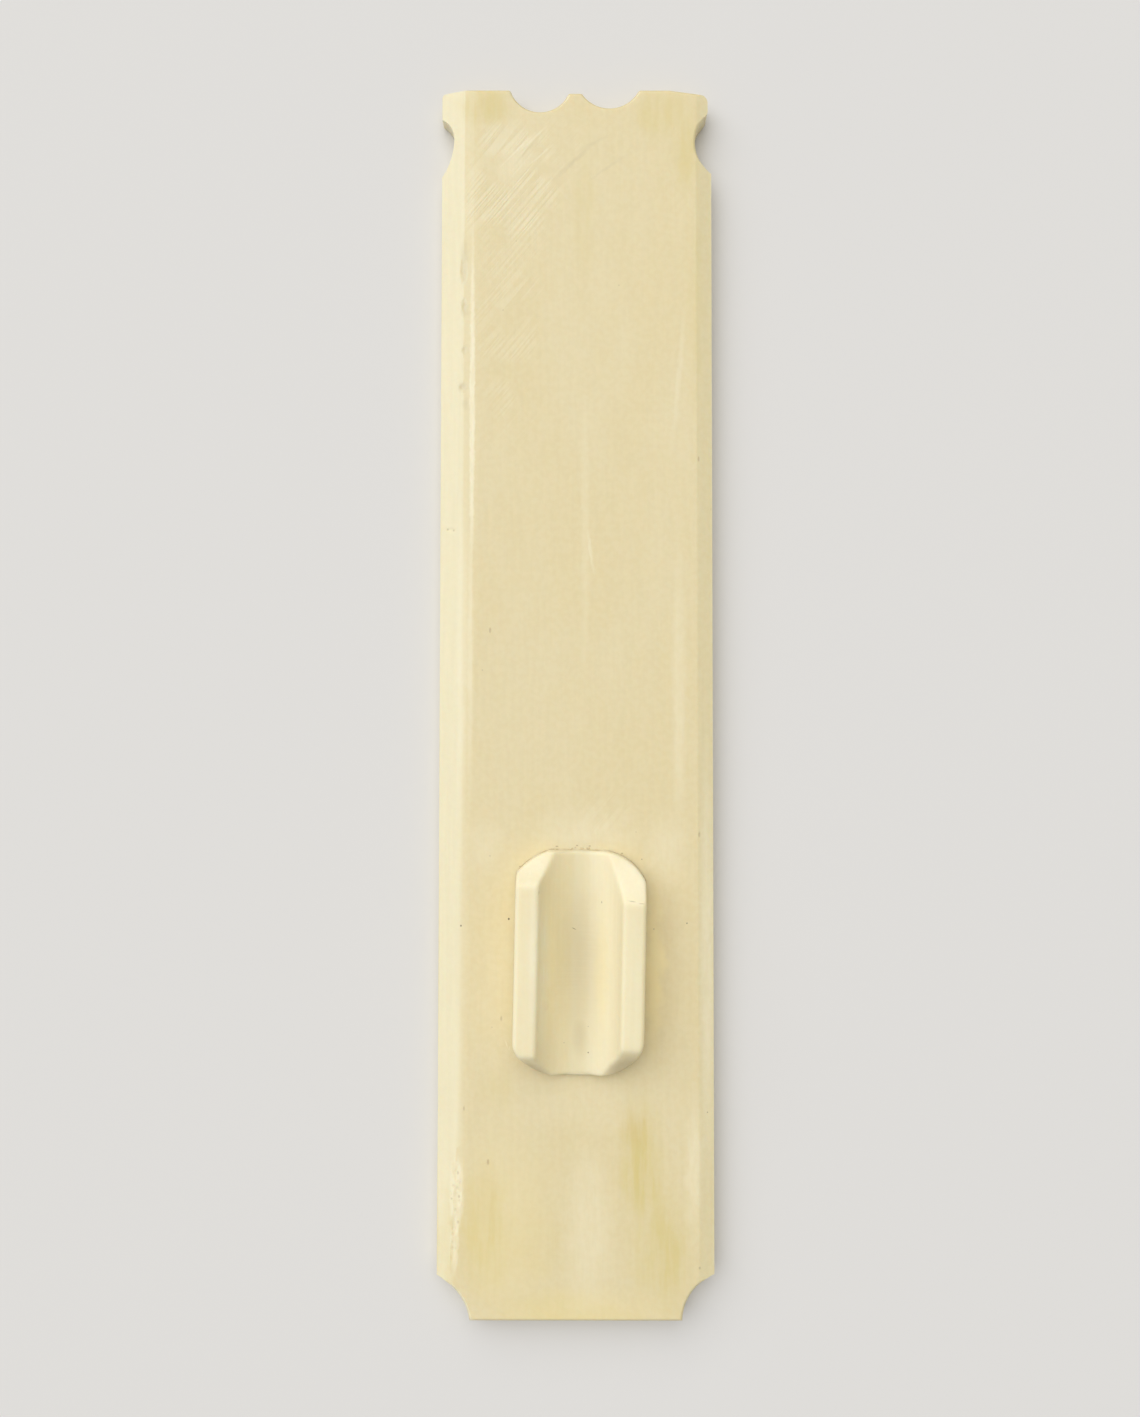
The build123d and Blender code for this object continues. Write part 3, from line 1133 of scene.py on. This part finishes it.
TABLET_MARKS = {
    Tint.OCHRE: (
        Mark(-11.0, 73.0, 3.5, 4.5, strength=0.5),
        Mark(10.5, 72.0, 4.5, 5.5, strength=0.4),
        Mark(13.5, 68.0, 8.0, 2.6, strength=0.45),
        Mark(14.6, 50.0, 22.0, 1.5, strength=0.2),
        Mark(-10.8, -64.5, 11.0, 4.2, strength=0.6),
        Mark(10.5, -66.5, 10.0, 5.5, strength=0.6),
        Mark(8.0, -56.0, 11.5, 3.7, turn=3.0, strength=0.75),
        Mark(-4.0, -66.0, 7.0, 7.0, strength=0.15),
        Mark(-3.0, -73.5, 3.0, 9.0, strength=0.3),
        Mark(-9.4, -47.5, 3.5, 3.5, strength=0.2),
        Mark(0.0, -74.5, 2.5, 13.0, strength=0.3),
        Mark(1.0, 60.0, 10.0, 1.8, strength=0.25),
        Mark(-15.5, -66.0, 9.0, 1.6, strength=0.3),
    ),
    Tint.HONEY: (
        Mark(6.9, -51.5, 4.0, 2.4, turn=8.0, strength=0.14),
        Mark(-10.6, -60.5, 6.5, 1.8, strength=0.14),
        Mark(11.3, -32.0, 12.0, 1.6, strength=0.12),
    ),
    Tint.AMBER: (
        # Painted warm light that lifts the block's shadow on its right.
        Mark(9.6, -33.0, 12.5, 1.7, strength=0.5),
        Mark(-9.0, -64.0, 17.0, 8.0, strength=0.22),
        Mark(0.0, -74.0, 4.0, 14.0, strength=0.25),
    ),
    Tint.CHALK_AND_LIGHT: (
        Mark(-5.6, 68.6, 3.4, 0.25, turn=-47.0, strength=0.5),
        Mark(-6.4, 68.2, 3.0, 0.2, turn=-45.0, strength=0.4),
        Mark(-7.8, 66.9, 4.0, 0.22, turn=-44.0, strength=0.45),
        Mark(-4.6, 66.6, 3.6, 0.2, turn=-49.0, strength=0.35),
        Mark(14.2, -57.0, 11.0, 1.6, strength=0.35),
        Mark(-12.75, 36.0, 25.0, 0.45, strength=0.75, soft=0.6),
        Mark(-12.9, 4.0, 22.0, 0.6, strength=0.35),
        Mark(-13.9, 4.0, 26.0, 1.0, strength=0.4),
        Mark(1.1, 20.0, 24.0, 0.7, strength=0.2),
        Mark(1.7, 18.0, 4.2, 0.32, turn=8.0, strength=0.45),
        Mark(12.5, 0.0, 24.0, 1.2, strength=0.3),
        Mark(12.6, 39.0, 10.0, 0.5, turn=-5.0, strength=0.25),
        # Painted light reflected onto the tablet from the block's head end.
        Mark(1.5, -17.0, 4.5, 9.0, strength=0.34, soft=1.0),
        Mark(-7.5, 65.5, 4.5, 2.5, turn=-40.0, strength=0.25),
        Mark(-14.3, -59.8, 5.2, 1.05, strength=0.42, soft=0.35),
        Mark(-14.5, -66.0, 4.0, 0.6, strength=0.38, soft=0.4),
        Mark(1.5, -64.0, 14.0, 4.0, strength=0.34),
        # Painted light that lifts the block's cast shadow below its foot.
        Mark(2.0, -49.0, 5.0, 13.0, strength=0.19),
        Mark(-11.0, -18.5, 5.0, 3.5, strength=0.25, soft=1.0),
        Mark(11.0, -18.5, 6.0, 4.0, strength=0.33, soft=1.0),
        Mark(-8.35, -42.1, 0.7, 0.11, turn=18.0, strength=0.5),
        Mark(-8.0, -42.6, 0.35, 0.1, turn=-10.0, strength=0.4),
        Mark(15.9, -32.0, 32.0, 1.2, strength=0.45),
    ),
    Tint.SHADE: (
        Mark(-6.1, 67.4, 3.1, 0.3, turn=-40.0, strength=0.3, soft=1.0),
        Mark(-0.3, 66.0, 5.0, 0.45, turn=-47.0, strength=0.3, soft=1.0),
        Mark(2.0, 68.2, 3.0, 0.4, turn=-62.0, strength=0.2, soft=1.0),
        Mark(4.0, 65.3, 4.3, 0.3, turn=-55.0, strength=0.2, soft=1.0),
        Mark(0.5, -18.1, 0.7, 6.5, strength=0.1, soft=1.0),
        Mark(-13.8, 53.6, 4.2, 0.7, strength=0.3),
        Mark(-13.8, 51.9, 2.0, 0.55, strength=0.35),
        Mark(-13.75, 47.7, 1.6, 0.65, strength=0.38),
        Mark(-13.7, 42.5, 0.8, 0.6, strength=0.3),
        Mark(-13.95, 37.9, 0.9, 0.8, strength=0.42),
        Mark(-13.6, 35.8, 1.2, 0.6, strength=0.22),
    ),
    Tint.RUST: (
        Mark(-6.75, -20.8, 0.14, 0.2, strength=0.4),
        Mark(-2.3, -18.35, 0.13, 0.26, strength=0.5),
        Mark(0.15, -18.25, 0.12, 0.22, strength=0.5),
        Mark(1.7, -18.3, 0.12, 0.2, strength=0.5),
        Mark(5.6, -19.2, 0.15, 0.2, strength=0.5),
        Mark(-14.15, -57.5, 0.3, 0.22, strength=0.25),
        Mark(-14.0, -60.3, 0.25, 0.2, strength=0.3),
        Mark(-14.9, -60.6, 0.2, 0.2, strength=0.25),
        Mark(-14.1, -63.3, 0.3, 0.2, strength=0.25),
    ),
    Tint.SOOT: (
        Mark(-8.1, -27.1, 0.17, 0.14, strength=0.95, soft=0.5),
        Mark(-13.9, -27.95, 0.15, 0.12, strength=0.8, soft=0.5),
        Mark(13.45, -27.6, 0.12, 0.10, strength=0.7, soft=0.5),
        Mark(9.45, -28.3, 0.11, 0.1, strength=0.6),
        Mark(8.0, -19.9, 0.12, 0.1, strength=0.6),
        Mark(-10.4, -19.5, 0.12, 0.09, strength=0.4),
        Mark(7.3, -16.6, 0.1, 0.09, strength=0.3),
        Mark(15.9, -50.3, 0.14, 0.11, strength=0.5),
        Mark(14.9, -68.7, 0.25, 0.2, strength=0.3),
        Mark(-7.4, 56.0, 0.12, 0.1, strength=0.25),
        Mark(5.25, 50.5, 0.12, 0.1, strength=0.3),
        Mark(-9.0, 47.4, 0.12, 0.1, strength=0.3),
        Mark(-11.4, 3.05, 0.12, 0.1, strength=0.3),
        Mark(-15.75, 20.4, 0.2, 0.16, strength=0.3),
        Mark(-15.0, 20.25, 0.2, 0.16, strength=0.25),
        Mark(-10.1, -40.1, 0.12, 0.1, strength=0.25),
    ),
}

BLOCK_MARKS = {
    Tint.HONEY: (
        # These two are painted shade on the block's foot scoops, which face away from the light.
        Mark(-5.0, -44.9, 1.5, 2.6, turn=-35.0, strength=0.4),
        Mark(5.6, -44.3, 1.6, 3.0, turn=35.0, strength=0.25),
        Mark(-3.6, -37.0, 1.0, 0.55, strength=0.35),
        Mark(-3.3, -35.6, 1.2, 0.4, strength=0.15),
    ),
    Tint.AMBER: (
        # Painted light on the groove's left wall, against the shade that falls there.
        Mark(-3.6, -31.0, 13.5, 1.4, strength=0.5),
        Mark(3.0, -33.0, 9.0, 1.2, strength=0.3),
    ),
    Tint.OCHRE: (Mark(-1.7, -30.5, 13.0, 1.8, strength=0.2, soft=1.0),),
    Tint.SHADE: (
        Mark(0.6, -31.5, 19.0, 3.8, strength=0.66, soft=1.0),
        Mark(0.9, -28.5, 6.0, 2.0, strength=0.55, soft=1.0),
        Mark(0.2, -34.5, 6.0, 2.0, strength=0.55, soft=1.0),
        Mark(0.6, -40.5, 6.0, 2.0, strength=0.58, soft=1.0),
        # Painted shade on the block's rounded head edge, where the lamp lights it.
        Mark(0.3, -18.75, 0.45, 5.0, strength=0.45),
        # These two are painted shade on the foot scoops, which face away from the light.
        Mark(-5.0, -44.9, 1.5, 2.6, turn=-35.0, strength=0.8),
        Mark(5.6, -44.3, 1.6, 3.0, turn=35.0, strength=0.75),
    ),
    Tint.CHALK_AND_LIGHT: (
        # Painted light on the groove's left wall, against the shade that falls there.
        Mark(-4.3, -32.0, 15.0, 1.7, strength=0.75),
        # These two are painted highlights on the head scoops, which face the lamp.
        Mark(6.5, -21.5, 3.9, 2.6, strength=0.4),
        Mark(-5.0, -21.0, 3.2, 2.6, strength=0.4),
    ),
    Tint.SOOT: (
        Mark(3.1, -24.9, 0.2, 0.1, strength=0.4),
        Mark(-0.2, -28.15, 0.4, 0.07, turn=62.0, strength=0.7),
        Mark(-1.4, -41.7, 0.1, 0.1, strength=0.35),
        Mark(1.5, -39.8, 0.1, 0.1, strength=0.35),
        Mark(1.5, -42.9, 0.14, 0.13, strength=0.7),
        Mark(6.6, -24.4, 0.6, 0.09, turn=82.0, strength=0.35),
        Mark(7.7, -24.65, 0.5, 0.09, turn=86.0, strength=0.3),
    ),
}

PITS = (
    Dent(-13.9, 52.4, 2.3, 0.5, 0.09),
    Dent(-13.8, 48.1, 1.1, 0.42, 0.08),
    Dent(-13.8, 42.5, 0.5, 0.4, 0.07),
    Dent(-14.0, 37.9, 0.55, 0.55, 0.08),
    Dent(-15.75, 20.4, 0.3, 0.25, 0.05),
    Dent(-15.0, 20.3, 0.3, 0.25, 0.04),
    Dent(-14.4, -57.2, 1.6, 0.6, 0.07),
    Dent(-14.2, -60.4, 1.3, 0.6, 0.09),
    Dent(-14.5, -63.6, 1.5, 0.5, 0.07),
    Dent(-14.7, -66.8, 1.6, 0.35, 0.05),
)


def main() -> None:
    """Build the pieces in order."""
    logging.basicConfig(level=logging.INFO, format="%(name)s %(message)s")
    effects = Effects()
    tablet_bone = BoneFinish(
        name="tablet_bone",
        body=(0.80, 0.692, 0.42),
        warm=(0.785, 0.665, 0.375),
        sheen_on_left_slopes=(0.87, 0.795, 0.545),
        shade_on_right_slopes=(0.79, 0.69, 0.41),
        shade_on_head_edges=(0.68, 0.57, 0.29),
        fibre_gap=0.5,
        fibre_share=0.075,
        scratch_turn=-40.0,
        scratch_fields=(
            Mark(-7.0, 63.5, 11.0, 7.5, turn=-40.0, strength=1.0, soft=0.45),
            Mark(-10.4, 65.0, 8.0, 2.8, strength=0.9, soft=0.5),
            Mark(-8.0, 46.0, 22.0, 6.5, strength=0.55),
            Mark(3.5, -14.0, 6.0, 4.0, turn=-40.0, strength=0.35),
        ),
        marks=TABLET_MARKS,
        spongy_fields=(
            Mark(-14.4, -59.6, 4.8, 0.85, soft=0.4, strength=0.8),
            Mark(-14.6, -65.8, 3.6, 0.5, soft=0.5, strength=0.7),
            Mark(-12.75, 32.0, 20.0, 0.5, strength=0.3),
        ),
    )
    block_bone = BoneFinish(
        name="block_bone",
        body=(0.905, 0.815, 0.54),
        warm=(0.90, 0.785, 0.49),
        sheen_on_left_slopes=(0.91, 0.82, 0.56),
        shade_on_right_slopes=(0.90, 0.78, 0.47),
        shade_on_head_edges=(0.90, 0.81, 0.55),
        fibre_gap=0.4,
        fibre_share=0.06,
        scratch_turn=88.0,
        scratch_fields=(Mark(0.4, -32.0, 20.0, 9.0, strength=0.12),),
        marks=BLOCK_MARKS,
        wander=0.7,
    )
    glue = GlueFinish().material(effects)
    Tablet(tablet_bone.material(effects), dents=PITS).build()
    PenBlock(block_bone.material(effects)).build()
    GlueLine(glue).build()
    Studio().build()


if __name__ == "__main__":
    main()
